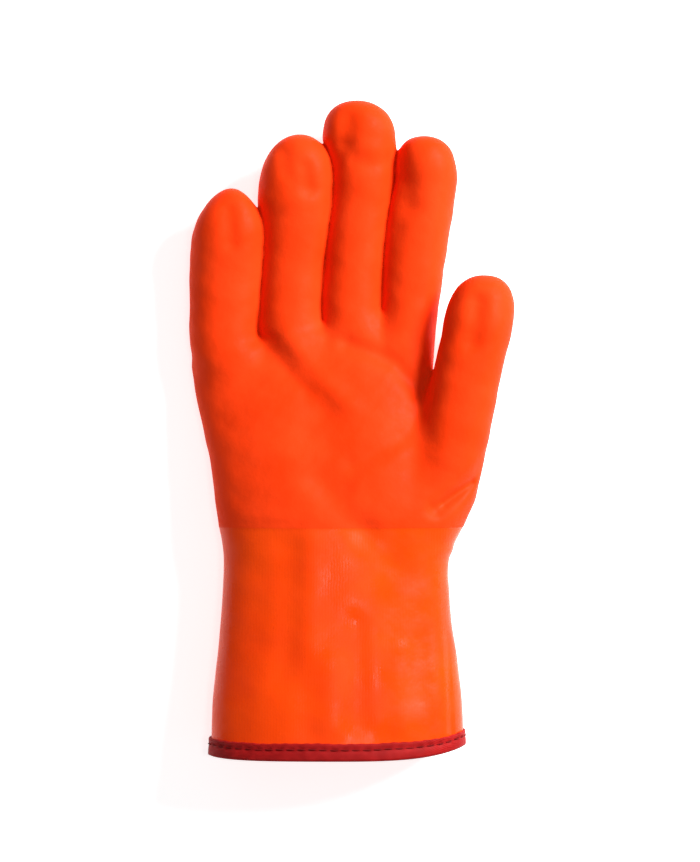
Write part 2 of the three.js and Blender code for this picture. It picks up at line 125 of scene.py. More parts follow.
# Sections of the palm: place from the wrist to the little finger's root, left and right edge as
# shares of the finger row's width, and depth as a share of the palm's.
PALM_ROWS = [
    (0.06, -0.385, 0.614, 1.1),
    (0.14, -0.394, 0.622, 1.09),
    (0.25, -0.405, 0.594, 1.06),
    (0.36, -0.415, 0.549, 1.02),
    (0.46, -0.431, 0.513, 0.97),
    (0.57, -0.447, 0.485, 0.91),
    (0.68, -0.463, 0.477, 0.84),
    (0.79, -0.478, 0.48, 0.75),
    (0.93, -0.492, 0.491, 0.62),
]

# Each digit: its root's place across and along, its axis's height, its length, width and depth,
# the squareness of its rounded tip, and the axis's shift and lift at the tip's end.
DIGIT_COLUMNS = ("x", "y", "z", "length", "width", "depth", "cap", "tip")
DIGIT_SIZES = {
    "little": (-51.85, 190, 14, 70.4, 32, 27.6, 1.75, (0.048, 0.13)),
    "ring": (-20.55, 194.6, 13.7, 90.7, 30.6, 28, 2.1, (0.042, 0.11)),
    "middle": (8.2, 196.9, 13.8, 103.7, 26.9, 28, 2.2, (0.014, 0.095)),
    "index": (33.85, 200.2, 13.7, 84.2, 24.4, 27.5, 2.6, (0.079, 0.1)),
    "thumb": (54.05, 145.5, 27, 74.3, 32.5, 28, 2.4, (0.192, 0.06)),
}
DIGITS = {name: dict(zip(DIGIT_COLUMNS, sizes)) for name, sizes in DIGIT_SIZES.items()}
FINGERS = ("little", "ring", "middle", "index")

# Sections of each digit: place from its root to its tip, the axis's shift and lift as shares of
# its length, and its width and depth as shares of its own.
DIGIT_ROWS = {
    "little": [
        (-0.45, 0.083, 0, 0.835, 0.72),
        (-0.2, 0.066, 0, 1.093, 0.98),
        (-0.08, 0.04, 0, 1.133, 1),
        (0, 0.003, 0, 1.014, 1),
        (0.26, 0.006, 0.006, 1.057, 1.01),
        (0.53, 0.018, 0.034, 1.08, 1.02),
        (0.66, 0.027, 0.06, 1.063, 1.02),
    ],
    "ring": [
        (-0.4, 0.039, 0, 0.888, 0.7),
        (-0.15, 0.048, 0, 1.13, 0.95),
        (-0.05, 0.026, 0, 1.036, 0.98),
        (0.01, -0.005, 0, 1.02, 0.98),
        (0.155, -0.006, 0.002, 0.968, 0.98),
        (0.36, 0.007, 0.012, 0.974, 0.99),
        (0.56, 0.021, 0.032, 1.055, 1.02),
        (0.66, 0.018, 0.048, 1.144, 1.04),
        (0.716, 0.019, 0.056, 1.143, 1.04),
    ],
    "middle": [
        (-0.33, -0.01, 0, 1.01, 0.7),
        (-0.12, 0.022, 0, 1.304, 0.95),
        (-0.03, 0.01, 0, 1.13, 0.97),
        (0.02, -0.006, 0, 1.052, 0.97),
        (0.11, -0.009, 0, 1.06, 0.96),
        (0.29, 0.002, 0.007, 1.033, 0.95),
        (0.47, 0.02, 0.019, 1.033, 0.95),
        (0.6, 0.034, 0.033, 1.046, 0.96),
        (0.693, 0.041, 0.044, 1.097, 0.98),
        (0.783, 0.035, 0.056, 1.193, 1.02),
        (0.827, 0.023, 0.062, 1.269, 1.02),
    ],
    "index": [
        (-0.45, -0.045, 0, 0.954, 0.7),
        (-0.17, -0.039, 0, 1.17, 0.95),
        (-0.04, -0.015, 0, 1.074, 0.98),
        (0, -0.007, 0, 1.047, 0.98),
        (0.1, 0.006, 0.002, 1.117, 0.98),
        (0.32, 0.027, 0.012, 1.193, 0.99),
        (0.54, 0.053, 0.03, 1.239, 1.01),
        (0.7, 0.083, 0.048, 1.203, 1.02),
        (0.76, 0.094, 0.056, 1.179, 1.02),
    ],
    "thumb": [
        (-0.66, -0.17, -0.12, 0.57, 0.8),
        (-0.51, -0.121, -0.095, 0.79, 0.98),
        (-0.387, -0.075, -0.07, 0.92, 1.06),
        (-0.25, -0.041, -0.045, 0.965, 1.08),
        (0, 0, 0, 1, 1.03),
        (0.227, 0.05, 0.02, 0.965, 0.98),
        (0.44, 0.095, 0.035, 0.98, 0.98),
        (0.6, 0.13, 0.045, 0.993, 1),
        (0.693, 0.147, 0.05, 0.986, 1),
    ],
}

# Folds and dents of the upper side, drawn through places of the photograph's pixels: a line, its
# width and its depth in millimetres, a ridge where the depth is below 0.
FOLDS = [
    # The fingertips' dents.
    ([(229, 212), (231, 242)], 8.0, 1.2),
    ([(283, 152), (287, 172)], 8.0, 0.8),
    ([(304, 168), (310, 188)], 8.0, 1.0),
    ([(296, 182), (304, 190)], 8.0, 0.5),
    ([(348, 118), (346, 140)], 9.5, 1.35),
    ([(342, 146), (336, 164)], 9.0, 0.6),
    ([(356, 160), (372, 164), (390, 160)], 8.0, 0.8),
    ([(398, 156), (406, 182), (411, 204)], 12.0, 1.35),
    ([(404, 200), (400, 226)], 10.0, 0.5),
    ([(477, 304), (475, 324), (472, 342)], 9.0, 1.45),
    ([(462, 336), (468, 348)], 9.0, 0.3),
    # The palm under the fingers.
    ([(268, 346), (290, 374), (322, 408)], 13.5, 1.15),
    ([(274, 354), (290, 375), (306, 392)], 5.5, 0.3),
    ([(286, 336), (314, 370), (348, 404)], 11.0, -0.9),
    ([(348, 344), (374, 353), (396, 364), (418, 392)], 9.0, 1.5),
    ([(400, 438), (378, 452), (354, 466)], 9.0, 0.8),
    ([(408, 452), (384, 468), (360, 482)], 9.0, -0.6),
    ([(318, 430), (338, 466)], 28.0, 1.9),
    # The thumb's mound and base.
    ([(424, 366), (424, 396), (420, 416)], 7.0, 0.6),
    ([(418, 432), (413, 460), (409, 488)], 13.0, 0.35),
    ([(484, 472), (462, 490), (436, 509)], 8.0, 2.3),
    ([(472, 483), (458, 494), (444, 504)], 3.6, 1.0),
    # The palm's heel.
    ([(318, 480), (340, 506), (364, 534)], 14.0, 1.2),
    ([(366, 528), (392, 560)], 13.0, 0.6),
    # The cuff's long folds.
    ([(291, 552), (290, 610), (286, 672)], 16.0, 0.6),
    ([(310, 540), (308, 660)], 13.0, -0.5),
    ([(262, 578), (258, 640)], 15.0, 0.45),
    ([(356, 624), (359, 722)], 14.0, 0.75),
    ([(377, 620), (379, 716)], 14.0, -0.4),
    ([(420, 640), (421, 694)], 13.0, 0.6),
    ([(399, 650), (400, 722)], 12.0, -0.5),
    ([(331, 660), (332, 722)], 14.0, -0.4),
    ([(308, 668), (307, 726)], 12.0, 0.35),
    ([(448, 636), (451, 734)], 3.4, 0.4),
]


def under_pixel(px, py, height):
    """The place that the photograph shows at a pixel, at a height above the floor, in metres."""
    scale = CAMERA["sensor"] / CAMERA["lens"] / max(FRAME_PX) * (CAMERA["at"][2] - height)
    x = CAMERA["at"][0] + (px - FRAME_PX[0] / 2) * scale
    y = CAMERA["at"][1] - (py - FRAME_PX[1] / 2) * scale
    return x, y


def smoothstep(low, high, value):
    t = np.clip((value - low) / (high - low), 0, 1)
    return t * t * (3 - 2 * t)


def uneven(points, height, size, seed):
    """Soft unevenness of about that height, without a repeat, on lumps of about that size."""
    random = np.random.default_rng(seed)
    total = np.zeros(len(points))
    for _ in range(10):
        wave = random.normal(size=3)
        wave *= 2 * math.pi / (size * random.uniform(1.4, 3.2)) / np.linalg.norm(wave)
        total += np.sin(points @ wave + random.uniform(0, 2 * math.pi))
    return height * (total / 4)


# The glove's body as distances from its outer face, below 0 inside, in its own millimetres.


def curve(rows, column, at):
    """One column's value at places along a table, on a smooth curve through its rows."""
    place, value = rows[:, 0], rows[:, column]
    low = np.maximum(np.arange(len(rows)) - 1, 0)
    high = np.minimum(np.arange(len(rows)) + 1, len(rows) - 1)
    slope = (value[high] - value[low]) / (place[high] - place[low])
    i = np.clip(np.searchsorted(place, at) - 1, 0, len(rows) - 2)
    span = place[i + 1] - place[i]
    t = np.clip((at - place[i]) / span, 0, 1)
    ends = (2 * t**3 - 3 * t**2 + 1) * value[i] + (3 * t**2 - 2 * t**3) * value[i + 1]
    slopes = (t**3 - 2 * t**2 + t) * slope[i] + (t**3 - t**2) * slope[i + 1]
    return ends + span * slopes


def section_share(dx, dz, half_width, half_depth, power):
    """How far out a place is in a section, 1 at its edge, and how fast that grows a millimetre."""
    u, v = np.abs(dx) / half_width, np.abs(dz) / half_depth
    up, vp = u ** (power - 1), v ** (power - 1)
    out = np.maximum(up * u + vp * v, 1e-6) ** (1 / power)
    growth = np.sqrt((up / half_width) ** 2 + (vp / half_depth) ** 2) / out ** (power - 1)
    return out, np.maximum(growth, 1e-3)


def blend(a, b, reach):
    """The smaller of two distances, softly from one to the other."""
    near = np.maximum(reach - np.abs(a - b), 0) / reach
    return np.minimum(a, b) - near * near * reach / 4


BODY_ROWS = np.array(
    [
        (at * WRIST, left * CUFF["width"], right * CUFF["width"], depth * CUFF["depth"])
        for at, left, right, depth in CUFF_ROWS
    ]
    + [
        (
            WRIST + at * PALM["length"],
            PALM["offset"] + left * ROW_WIDTH,
            PALM["offset"] + right * ROW_WIDTH,
            depth * PALM["depth"],
        )
        for at, left, right, depth in PALM_ROWS
    ]
)


def body_section(plain):
    """The body's left, right, front and back edges and the height that it rests at.

    They belong to a place along it, before the hem's and the knuckles' curves.
    """
    left, right, front = (curve(BODY_ROWS, column, plain) for column in (1, 2, 3))
    rest = (TAPE["thickness"] + GAP) * (1 - smoothstep(HEM["rest"], HEM["reach"] / 2, plain))
    return left, right, front, rest - SETTLE, rest


def bent(x, plain, left, right):
    """How far the hem's curve and the knuckles' slant carry a place along the body."""
    across = np.clip((2 * x - left - right) / (right - left), -1, 1)
    hem = np.maximum(0, 1 - plain / HEM["reach"]) ** 2
    hem_curve = HEM["lift"] * across**4 + HEM["skew"] * across**3
    knuckles = smoothstep(WRIST, PALM_END, plain)
    crotch = ROW_LEFT + DIGITS["little"]["width"]
    return hem * hem_curve + knuckles * PALM["slant"] * (x - crotch)


def along_body(x, y):
    """The place along the body that its curves carry to this one."""
    plain = y + 0 * x
    for _ in range(8):
        left, right = curve(BODY_ROWS, 1, plain), curve(BODY_ROWS, 2, plain)
        plain = y - bent(x, plain, left, right)
    return plain


def body_distance(x, y, z):
    """The distance from the outer face of cuff and palm, with a rounded end at the knuckles."""
    plain = along_body(x, y)
    left, right, front, back, rest = body_section(plain)
    knuckles = smoothstep(WRIST, PALM_END, plain)
    height, half_depth = (front + back) / 2, (front - back) / 2
    under = CUFF["back"] + (PALM["back"] - CUFF["back"]) * knuckles
    power = np.where(z >= height, CUFF["front"], under)
    dx, half_width = x - (left + right) / 2, (right - left) / 2
    out, growth = section_share(dx, z - height, half_width, half_depth, power)
    side = (out - 1) / growth
    side = -blend(-side, z - rest, SIDE_BLEND)
    u, w = side + PALM["end"], plain - PALM_END + PALM["end"]
    corner = np.hypot(np.maximum(u, 0), np.maximum(w, 0))
    return np.minimum(np.maximum(u, w), 0) + corner - PALM["end"]


def digit_distance(name, x, y, z):
    """The distance from the outer face of one digit, with its domed tip."""
    digit, rows = DIGITS[name], np.array(DIGIT_ROWS[name], float)
    along = (y - digit["y"]) / digit["length"]
    start = rows[-1, 0]
    share = np.maximum((along - start) / (1 - start), 0)
    lean = np.minimum(share, 1)
    shift = curve(rows, 1, along) + lean * (digit["tip"][0] - rows[-1, 1])
    lift = curve(rows, 2, along) + lean * (digit["tip"][1] - rows[-1, 2])
    half_width = curve(rows, 3, along) * digit["width"] / 2
    half_depth = curve(rows, 4, along) * digit["depth"] / 2
    dx = x - digit["x"] - shift * digit["length"]
    dz = z - digit["z"] - lift * digit["length"]
    out, growth = section_share(dx, dz, half_width, half_depth, DIGIT_POWER)
    cap = digit["cap"]
    whole = (out**cap + share**cap) ** (1 / cap)
    ahead = share ** (cap - 1) / ((1 - start) * digit["length"])
    steep = np.sqrt((out ** (cap - 1) * growth) ** 2 + ahead**2) / whole ** (cap - 1)
    return np.maximum((whole - 1) / steep, (rows[0, 0] - along) * digit["length"])


def outer_distance(x, y, z):
    """The distance from the glove's outer face, and each finger's own."""
    apart = [digit_distance(name, x, y, z) for name in FINGERS]
    row = apart[0]
    for one in apart[1:]:
        row = blend(row, one, CREASE)
    whole = blend(body_distance(x, y, z), row, FINGER_BLEND)
    whole = blend(whole, digit_distance("thumb", x, y, z), THUMB_BLEND)
    return -blend(-whole, z, FLOOR_BLEND), apart


# The skin: one even mesh over the whole wall, light on its inside, split at the wrist line.


def skin_grid():
    """Points and faces of the wall's whole surface, both faces and the hem's edge."""
    low, high = FIELD_LOW - 2 * CELL, FIELD_HIGH + 2 * CELL
    count = np.ceil((high - low) / CELL).astype(int)
    x, y, z = (low[i] + CELL * np.arange(count[i]) for i in range(3))
    whole, _ = outer_distance(x[:, None, None], y[None, :, None], z[None, None, :])
    plain = along_body(x[:, None, None], y[None, :, None])
    wall = np.abs(whole + WALL / 2) - WALL / 2
    wall = np.maximum(wall, -plain)
    reach = BAND * CELL
    grid = openvdb.FloatGrid(reach)
    grid.copyFromArray(np.clip(wall, -reach, reach).astype(np.float32))
    points, faces = grid.convertToQuads()
    return points * CELL + low, faces.astype(np.int64)


def face_edges(faces):
    pairs = np.concatenate([faces[:, [i, (i + 1) % 4]] for i in range(4)])
    return np.unique(np.sort(pairs, axis=1), axis=0)


def main_part(points, faces):
    """The largest connected part, without stray specks."""
    a, b = face_edges(faces).T
    label = np.arange(len(points))
    while True:
        new = label.copy()
        np.minimum.at(new, a, label[b])
        np.minimum.at(new, b, label[a])
        new = new[new]
        if (new == label).all():
            break
        label = new
    kept = label == np.bincount(label).argmax()
    return points[kept], (np.cumsum(kept) - 1)[faces[kept[faces].all(axis=1)]]


def blurred(values, edges, rounds, share=0.5):
    """Values at the points, evened out with their neighbours' a number of times."""
    a, b = edges.T
    near = np.bincount(edges.ravel(), minlength=len(values))[:, None]
    values = values.copy()
    for _ in range(rounds):
        columns = [np.bincount(a, v[b], len(v)) + np.bincount(b, v[a], len(v)) for v in values.T]
        values += share * (np.stack(columns, axis=1) / near - values)
    return values


def point_normals(points, faces):
    corner = [points[faces[:, i]] for i in range(4)]
    normal = np.cross(corner[2] - corner[0], corner[3] - corner[1])
    sums = [
        sum(np.bincount(faces[:, i], normal[:, k], len(points)) for i in range(4))
        for k in range(3)
    ]
    total = np.stack(sums, axis=1)
    return total / np.maximum(np.linalg.norm(total, axis=1), 1e-20)[:, None]


def to_model(points):
    """From the glove's own millimetres to metres round the row's origin."""
    return (points - np.array([*ORIGIN, 0])) * MM


def fold_press(x, y, height):
    """How deep the folds press a place in, at a place in metres seen from above."""
    total = np.zeros(len(x))
    for line, width, depth in FOLDS:
        nearest = np.full(len(x), np.inf)
        ends = [under_pixel(px, py, height) for px, py in line]
        for (ax, ay), (bx, by) in zip(ends, ends[1:]):
            run = np.array([bx - ax, by - ay])
            t = np.clip(((x - ax) * run[0] + (y - ay) * run[1]) / (run @ run), 0, 1)
            nearest = np.minimum(nearest, np.hypot(x - ax - t * run[0], y - ay - t * run[1]))
        total += depth * np.exp(-((2 * nearest / (width * MM)) ** 2))
    return total


points, faces = main_part(*skin_grid())
edges = face_edges(faces)
points = blurred(points, edges, EVEN_ROUNDS)
whole, apart = outer_distance(*points.T)
outside = whole > -WALL / 2
normals = point_normals(points, faces)
if (normals[outside] * (points[outside] - points[outside].mean(axis=0))).sum() < 0:
    faces = faces[:, ::-1]
    normals = -normals
outward = np.where(outside, 1, -1)[:, None] * normals
upper = np.clip(FOLD_FADE * outward[:, 2], 0, 1)
model = to_model(points)
press = RELIEF * fold_press(model[:, 0], model[:, 1], FOLD_HEIGHT) * upper
points[:, 2] -= press

# Between two fingers the skins meet in a narrow crease, which ends where the palm begins.
body = body_distance(*points.T)
facing = np.sign(outward[:, 2]) * smoothstep(*CREASE_FACING, np.abs(outward[:, 2]))
for near, far in zip(apart, apart[1:]):
    closer = np.minimum(near, far)
    free = smoothstep(*CREASE_FREE, body - closer)
    free = free * smoothstep(*CREASE_SKIN, np.abs(whole - closer))
    depth = CREASE_DEPTH * np.exp(-(((near - far) / CREASE_WIDTH) ** 2)) * free * outside
    points[:, 2] -= facing * depth

# Soft unevenness, the coat's edge at the wrist and the flat where the glove rests.
above = points[:, 1] - WRIST
on_cuff = uneven(points * np.array([1, CUFF_LONG, 1]), *CUFF_LUMPS)
on_hand = sum(uneven(points, *row) for row in HAND_LUMPS)
lumps = np.where(above > 0, on_hand, on_cuff) * smoothstep(0, LUMPS_FADE, np.abs(above))
lumps += uneven(points, *ALL_LUMPS)
edge = COAT_EDGE * (1 - smoothstep(0, COAT_FADE, above)) * (above > 0)
points += outward * (outside * (lumps + edge))[:, None]
points[:, 2] = np.maximum(points[:, 2], 0)
hem_rest = body_section(np.maximum(points[:, 1], 0))[4]
by_hem = points[:, 1] < WRIST - HEM["reach"]
points[:, 2] = np.where(by_hem, np.maximum(points[:, 2], hem_rest), points[:, 2])
model = to_model(points)
print("skin", len(points), "points")


def new_object(name, mesh):
    made = bpy.data.objects.new(name, mesh)
    bpy.context.scene.collection.objects.link(made)
    return made


def new_mesh(name, places, corners):
    mesh = bpy.data.meshes.new(name)
    mesh.from_pydata(np.asarray(places).tolist(), [], corners)
    return mesh


def with_modifiers(made):
    """The object's mesh with its modifiers applied, and the object removed."""
    bpy.context.view_layer.update()
    graph = bpy.context.evaluated_depsgraph_get()
    mesh = bpy.data.meshes.new_from_object(made.evaluated_get(graph))
    bpy.data.objects.remove(made)
    return mesh


def skin_piece(name, keep_above):
    """The skin above or below the wrist line, closed there, with fewer faces on its inside."""
    mesh = new_mesh(name, model, faces.tolist())
    flag = mesh.attributes.new("outside", "FLOAT", "POINT")
    flag.data.foreach_set("value", outside.astype(np.float32))
    work = bmesh.new()
    work.from_mesh(mesh)
    bmesh.ops.bisect_plane(
        work,
        geom=work.verts[:] + work.edges[:] + work.faces[:],
        plane_co=(0, (WRIST - ORIGIN[1]) * MM, 0),
        plane_no=(0, 1, 0),
        clear_inner=keep_above,
        clear_outer=not keep_above,
    )
    bmesh.ops.bridge_loops(work, edges=[e for e in work.edges if e.is_boundary])
    bmesh.ops.recalc_face_normals(work, faces=work.faces[:])
    work.to_mesh(mesh)
    work.free()
    made = new_object(name, mesh)
    shown = np.zeros(len(mesh.vertices), np.float32)
    mesh.attributes["outside"].data.foreach_get("value", shown)
    group = made.vertex_groups.new(name="inside")
    group.add(np.flatnonzero(shown < 0.5).tolist(), 1.0, "REPLACE")
    thin = made.modifiers.new("thin", "DECIMATE")
    thin.vertex_group = "inside"
    thin.ratio = 1 - float((shown < 0.5).mean()) * (1 - INNER_SHARE)
    thinned = with_modifiers(made)
    thinned.shade_smooth()
    thinned.set_sharp_from_angle(angle=SHARP)
    return new_object(name, thinned)


hand = skin_piece("glove_hand", True)
cuff = skin_piece("glove_cuff", False)

# The tape round the hem: a loop of U-shaped sections, pulled in along its stitches.


def body_point(angle, plain, inset):
    """A place on the body's surface, set in by "inset", as the solids have it."""
    left, right, front, back, rest = body_section(np.maximum(plain, 0))
    c, s = np.cos(angle), np.sin(angle)
    power = np.where(s >= 0, CUFF["front"], CUFF["back"])
    x = (left + right) / 2 + ((right - left) / 2 - inset) * np.sign(c) * np.abs(c) ** (2 / power)
    half = (front - back) / 2 - inset
    z = (front + back) / 2 + half * np.sign(s) * np.abs(s) ** (2 / power)
    z = np.maximum(z, inset + rest)
    y = plain + bent(x, np.maximum(plain, 0), left, right)
    return np.stack([x + 0 * y, y, z + 0 * y], axis=-1)


FINE_STEPS = 20001


def round_hem(count):
    """Angles round the hem at even distances, and the length round it."""
    fine = np.linspace(0, 2 * math.pi, FINE_STEPS)
    ring = body_point(fine, np.full(FINE_STEPS, TAPE["row"]), -GAP - TAPE["thickness"])
    run = np.concatenate([[0], np.cumsum(np.linalg.norm(np.diff(ring, axis=0), axis=1))])
    return np.interp(np.arange(count) / count * run[-1], run, fine), run[-1]


# The tape's section, as how far up a leg a place is and how far in from the cuff's outer face.
OUT = -GAP - TAPE["thickness"]
INNER_FACE = WALL + GAP
IN = INNER_FACE + TAPE["thickness"]
TOP, INNER_TOP = TAPE["outer"], TAPE["inner"]
LOW = OUT  # the fold lies as far under the raw edge as the leg stands off the cuff
profile = [(TOP - 0.1, -GAP), (TOP + 0.02, -0.6), (TOP - 0.05, -0.95), (TOP - 0.35, OUT)]
profile += [(rise, OUT) for rise in np.arange(TOP - 0.8, 0, -0.45)]
profile += [(-0.35, OUT + 0.02), (-0.75, OUT + 0.25), (-1.05, OUT + 0.75)]
profile += [(LOW, inset) for inset in (0.3, 1.25, 2.2)]
profile += [(-1.05, IN - 0.75), (-0.75, IN - 0.25), (-0.35, IN - 0.02)]
profile += [(rise, IN) for rise in np.arange(0.1, INNER_TOP - 0.5, 0.45)]
profile += [(INNER_TOP - 0.35, IN), (INNER_TOP, IN - 0.3), (INNER_TOP - 0.1, INNER_FACE)]
profile += [(3.0, INNER_FACE), (-GAP, INNER_FACE), (-GAP, -GAP), (3.5, -GAP)]
profile = np.array(profile)

SECTIONS = 760  # sections of the tape round the hem
# How the thread presses the tape in along its row, most under the middle of a stitch, how the tape
# puffs out again near the fold, and how its upper edge waves with the stitches.
PULL = {"depth": 0.34, "wave": 0.16, "reach": 1.1}
FOLD_PUFF = {"height": 0.10, "at": 1.2, "reach": 1.8}
EDGE_WAVE = {"height": 0.10, "reach": 0.8}
# The tape's slow wander along the cuff, in rows of height, waves round the hem and phase.
WANDER = [(0.12, 7, 0.2), (0.08, 17, 0.6)]
# The tape's end lies over its start at the little finger's side, cut at a slant: how far it stands
# up there, and between which places across the cuff it sets in and ends.
LAP = {"height": 0.22, "starts": (-53.5, -51.5), "ends": (-34.0, -36.0), "slant": 1.6}

angles, hem_length = round_hem(SECTIONS)
stitch_count = round(hem_length / TAPE["pitch"])
turn = np.arange(SECTIONS) / SECTIONS
phase = np.cos(2 * math.pi * turn * stitch_count)[:, None]
rise, inset = profile[:, 0][None, :], profile[:, 1][None, :]
is_out = (profile[:, 1] < -GAP - 0.2)[None, :]
is_in = (profile[:, 1] > INNER_FACE + 0.2)[None, :]
pulled = np.exp(-(((rise - TAPE["row"]) / PULL["reach"]) ** 2))
puffed = np.exp(-(((rise - FOLD_PUFF["at"]) / FOLD_PUFF["reach"]) ** 2))
tug = pulled * (PULL["depth"] - PULL["wave"] * phase) - FOLD_PUFF["height"] * puffed
tug = np.where(is_out, tug, np.where(is_in, -tug, 0))
hem_x = body_point(angles, np.zeros(SECTIONS), 0.0)[:, 0]
front_side = (np.sin(angles) > -0.1)[:, None]
slant = hem_x[:, None] - LAP["slant"] * (rise - 3)
lapped = smoothstep(*LAP["starts"], slant) * smoothstep(*LAP["ends"], slant) * front_side * is_out
near_edge = np.exp(-(((rise - TOP) / EDGE_WAVE["reach"]) ** 2)) * (is_out | is_in)
edge_wave = EDGE_WAVE["height"] * phase * near_edge
wander = sum(
    height * np.sin(2 * math.pi * (turn * waves + start)) for height, waves, start in WANDER
)
tape_points = body_point(
    np.broadcast_to(angles[:, None], (SECTIONS, len(profile))),
    rise + edge_wave + wander[:, None] * (rise > 2),
    inset + tug - LAP["height"] * lapped,
)
tape_points[..., 2] = np.maximum(tape_points[..., 2], 0)
sides = len(profile)
here = np.arange(SECTIONS)[:, None] * sides
there = ((np.arange(SECTIONS) + 1) % SECTIONS)[:, None] * sides
j, k = np.arange(sides)[None, :], ((np.arange(sides) + 1) % sides)[None, :]
tape_faces = np.stack([here + j, here + k, there + k, there + j], axis=-1).reshape(-1, 4)


def closed_piece(name, places, corners):
    """A piece from places in the glove's own millimetres, its faces turned outwards."""
    mesh = new_mesh(name, to_model(places.reshape(-1, 3)), corners)
    work = bmesh.new()
    work.from_mesh(mesh)
    bmesh.ops.recalc_face_normals(work, faces=work.faces[:])
    work.to_mesh(mesh)
    work.free()
    mesh.shade_smooth()
    return new_object(name, mesh)


tape = closed_piece("hem_tape", tape_points, tape_faces.tolist())

# The lockstitch: one short thread from needle hole to needle hole, on both legs of the tape. Its
# radius and the share of it at its ends, how far it lies in from the leg's face, how much further
# in at the needle holes, how far it bows out between them, and the part of a stitch that it covers.
THREAD = {"radius": 0.33, "thin": 0.55, "let_in": 0.18, "hole": 0.3, "bow": 0.42}
SHOWN = (0.09, 0.91)
LINKS, AROUND = 8, 6  # rings along a stitch and points round it


def stitches():
    """All threads as one piece of short, closed tubes."""
    places, corners = [], []
    steps = np.arange(SECTIONS + 1)
    round_angles = np.append(angles, 2 * math.pi)
    bow = np.sin(math.pi * np.linspace(0, 1, LINKS)) ** 0.5
    thick = THREAD["radius"] * (THREAD["thin"] + (1 - THREAD["thin"]) * bow)
    for leg, sign in ((OUT + THREAD["let_in"], -1), (IN - THREAD["let_in"], 1)):
        depth = leg + sign * (THREAD["bow"] * bow - THREAD["hole"])
        for i in range(stitch_count):
            where = (i + np.linspace(*SHOWN, LINKS)) / stitch_count * SECTIONS
            angle = np.interp(where, steps, round_angles)
            row = np.full(LINKS, TAPE["row"]) + wander[int(where[0]) % SECTIONS]
            middle = body_point(angle, row, depth)
            along = np.gradient(middle, axis=0)
            along /= np.linalg.norm(along, axis=1)[:, None]
            up = np.array([0.0, 1.0, 0.0]) - along * along[:, 1:2]
            up /= np.linalg.norm(up, axis=1)[:, None]
            out = np.cross(along, up)
            start = len(places) * LINKS * AROUND
            rings = [
                middle + thick[:, None] * (math.cos(a) * up + math.sin(a) * out)
                for a in 2 * math.pi * np.arange(AROUND) / AROUND
            ]
            places.append(np.stack(rings, axis=1))
            for link in range(LINKS - 1):
                for a in range(AROUND):
                    p, q = start + link * AROUND + a, start + link * AROUND + (a + 1) % AROUND
                    corners.append([p, q, q + AROUND, p + AROUND])
            corners.append([start + a for a in range(AROUND)])
            corners.append([start + (LINKS - 1) * AROUND + a for a in range(AROUND)][::-1])
    places = np.concatenate([p.reshape(-1, 3) for p in places])
    places[:, 2] = np.maximum(places[:, 2], 0)
    return closed_piece("hem_stitches", places, corners)


threads = stitches()

# Materials.


def material(name, colour, roughness):
    made = bpy.data.materials.new(name)
    made.use_nodes = True
    tree = made.node_tree
    shader = tree.nodes["Principled BSDF"]
    shader.inputs["Base Color"].default_value = (*colour, 1)
    shader.inputs["Roughness"].default_value = roughness
    return tree, shader, made


def noise(tree, scale, detail):
    place = tree.nodes.new("ShaderNodeTexCoord")
    made = tree.nodes.new("ShaderNodeTexNoise")
    made.inputs["Scale"].default_value = scale
    made.inputs["Detail"].default_value = detail
    tree.links.new(place.outputs["Object"], made.inputs["Vector"])
    return made.outputs["Fac"]


def bands(tree, direction, scale, wander):
    place = tree.nodes.new("ShaderNodeTexCoord")
    made = tree.nodes.new("ShaderNodeTexWave")
    made.bands_direction = direction
    made.inputs["Scale"].default_value = scale
    made.inputs["Distortion"].default_value = wander
    made.inputs["Detail"].default_value = 1.0
    tree.links.new(place.outputs["Object"], made.inputs["Vector"])
    return made.outputs["Fac"]


def ramp(tree, value, low, high):
    made = tree.nodes.new("ShaderNodeMapRange")
    made.inputs["From Min"].default_value = 0.3
    made.inputs["From Max"].default_value = 0.7
    made.inputs["To Min"].default_value = low
    made.inputs["To Max"].default_value = high
    tree.links.new(value, made.inputs["Value"])
    return made.outputs["Result"]


def tinted(tree, shader, value, dark, light):
    """The base colour between a dark and a light one, by a pattern's value."""
    mix = tree.nodes.new("ShaderNodeMix")
    mix.data_type = "RGBA"
    mix.inputs["A"].default_value = (*dark, 1)
    mix.inputs["B"].default_value = (*light, 1)
    tree.links.new(ramp(tree, value, 0.0, 1.0), mix.inputs["Factor"])
    tree.links.new(mix.outputs["Result"], shader.inputs["Base Color"])


def bumped(tree, shader, layers):
    """Fine relief from layers of a pattern's value and its height in millimetres."""
    normal = None
    for value, distance in layers:
        bump = tree.nodes.new("ShaderNodeBump")
        bump.inputs["Strength"].default_value = 1.0
        bump.inputs["Distance"].default_value = distance * MM
        tree.links.new(value, bump.inputs["Height"])
        if normal is not None:
            tree.links.new(normal, bump.inputs["Normal"])
        normal = bump.outputs["Normal"]
    tree.links.new(normal, shader.inputs["Normal"])


def painted_glow(shader, strength):
    """A painted red glow on the coat: emission that lifts the red of its shaded sides, standing in
    for light.
    """
    shader.inputs["Emission Color"].default_value = (1, 0.02, 0, 1)
    shader.inputs["Emission Strength"].default_value = strength


# How strongly the coats glow: painted light that brightens the red of their shaded sides.
PAINTED_GLOW = 0.08


def hand_coating():
    """The satin coat of the hand, finely pebbled."""
    tree, shader, made = material("hand_coating", (0.95, 0.055, 0.006), 0.5)
    tinted(tree, shader, noise(tree, 38, 4), (0.69, 0.034, 0.0025), (0.77, 0.046, 0.006))
    tree.links.new(ramp(tree, noise(tree, 300, 3), 0.42, 0.56), shader.inputs["Roughness"])
    bumped(tree, shader, [(noise(tree, 260, 3), 0.15), (noise(tree, 1300, 2), 0.045)])
    shader.inputs["Specular IOR Level"].default_value = 0.035
    # A painted red glow that brightens the shaded sides.
    painted_glow(shader, PAINTED_GLOW)
    return made


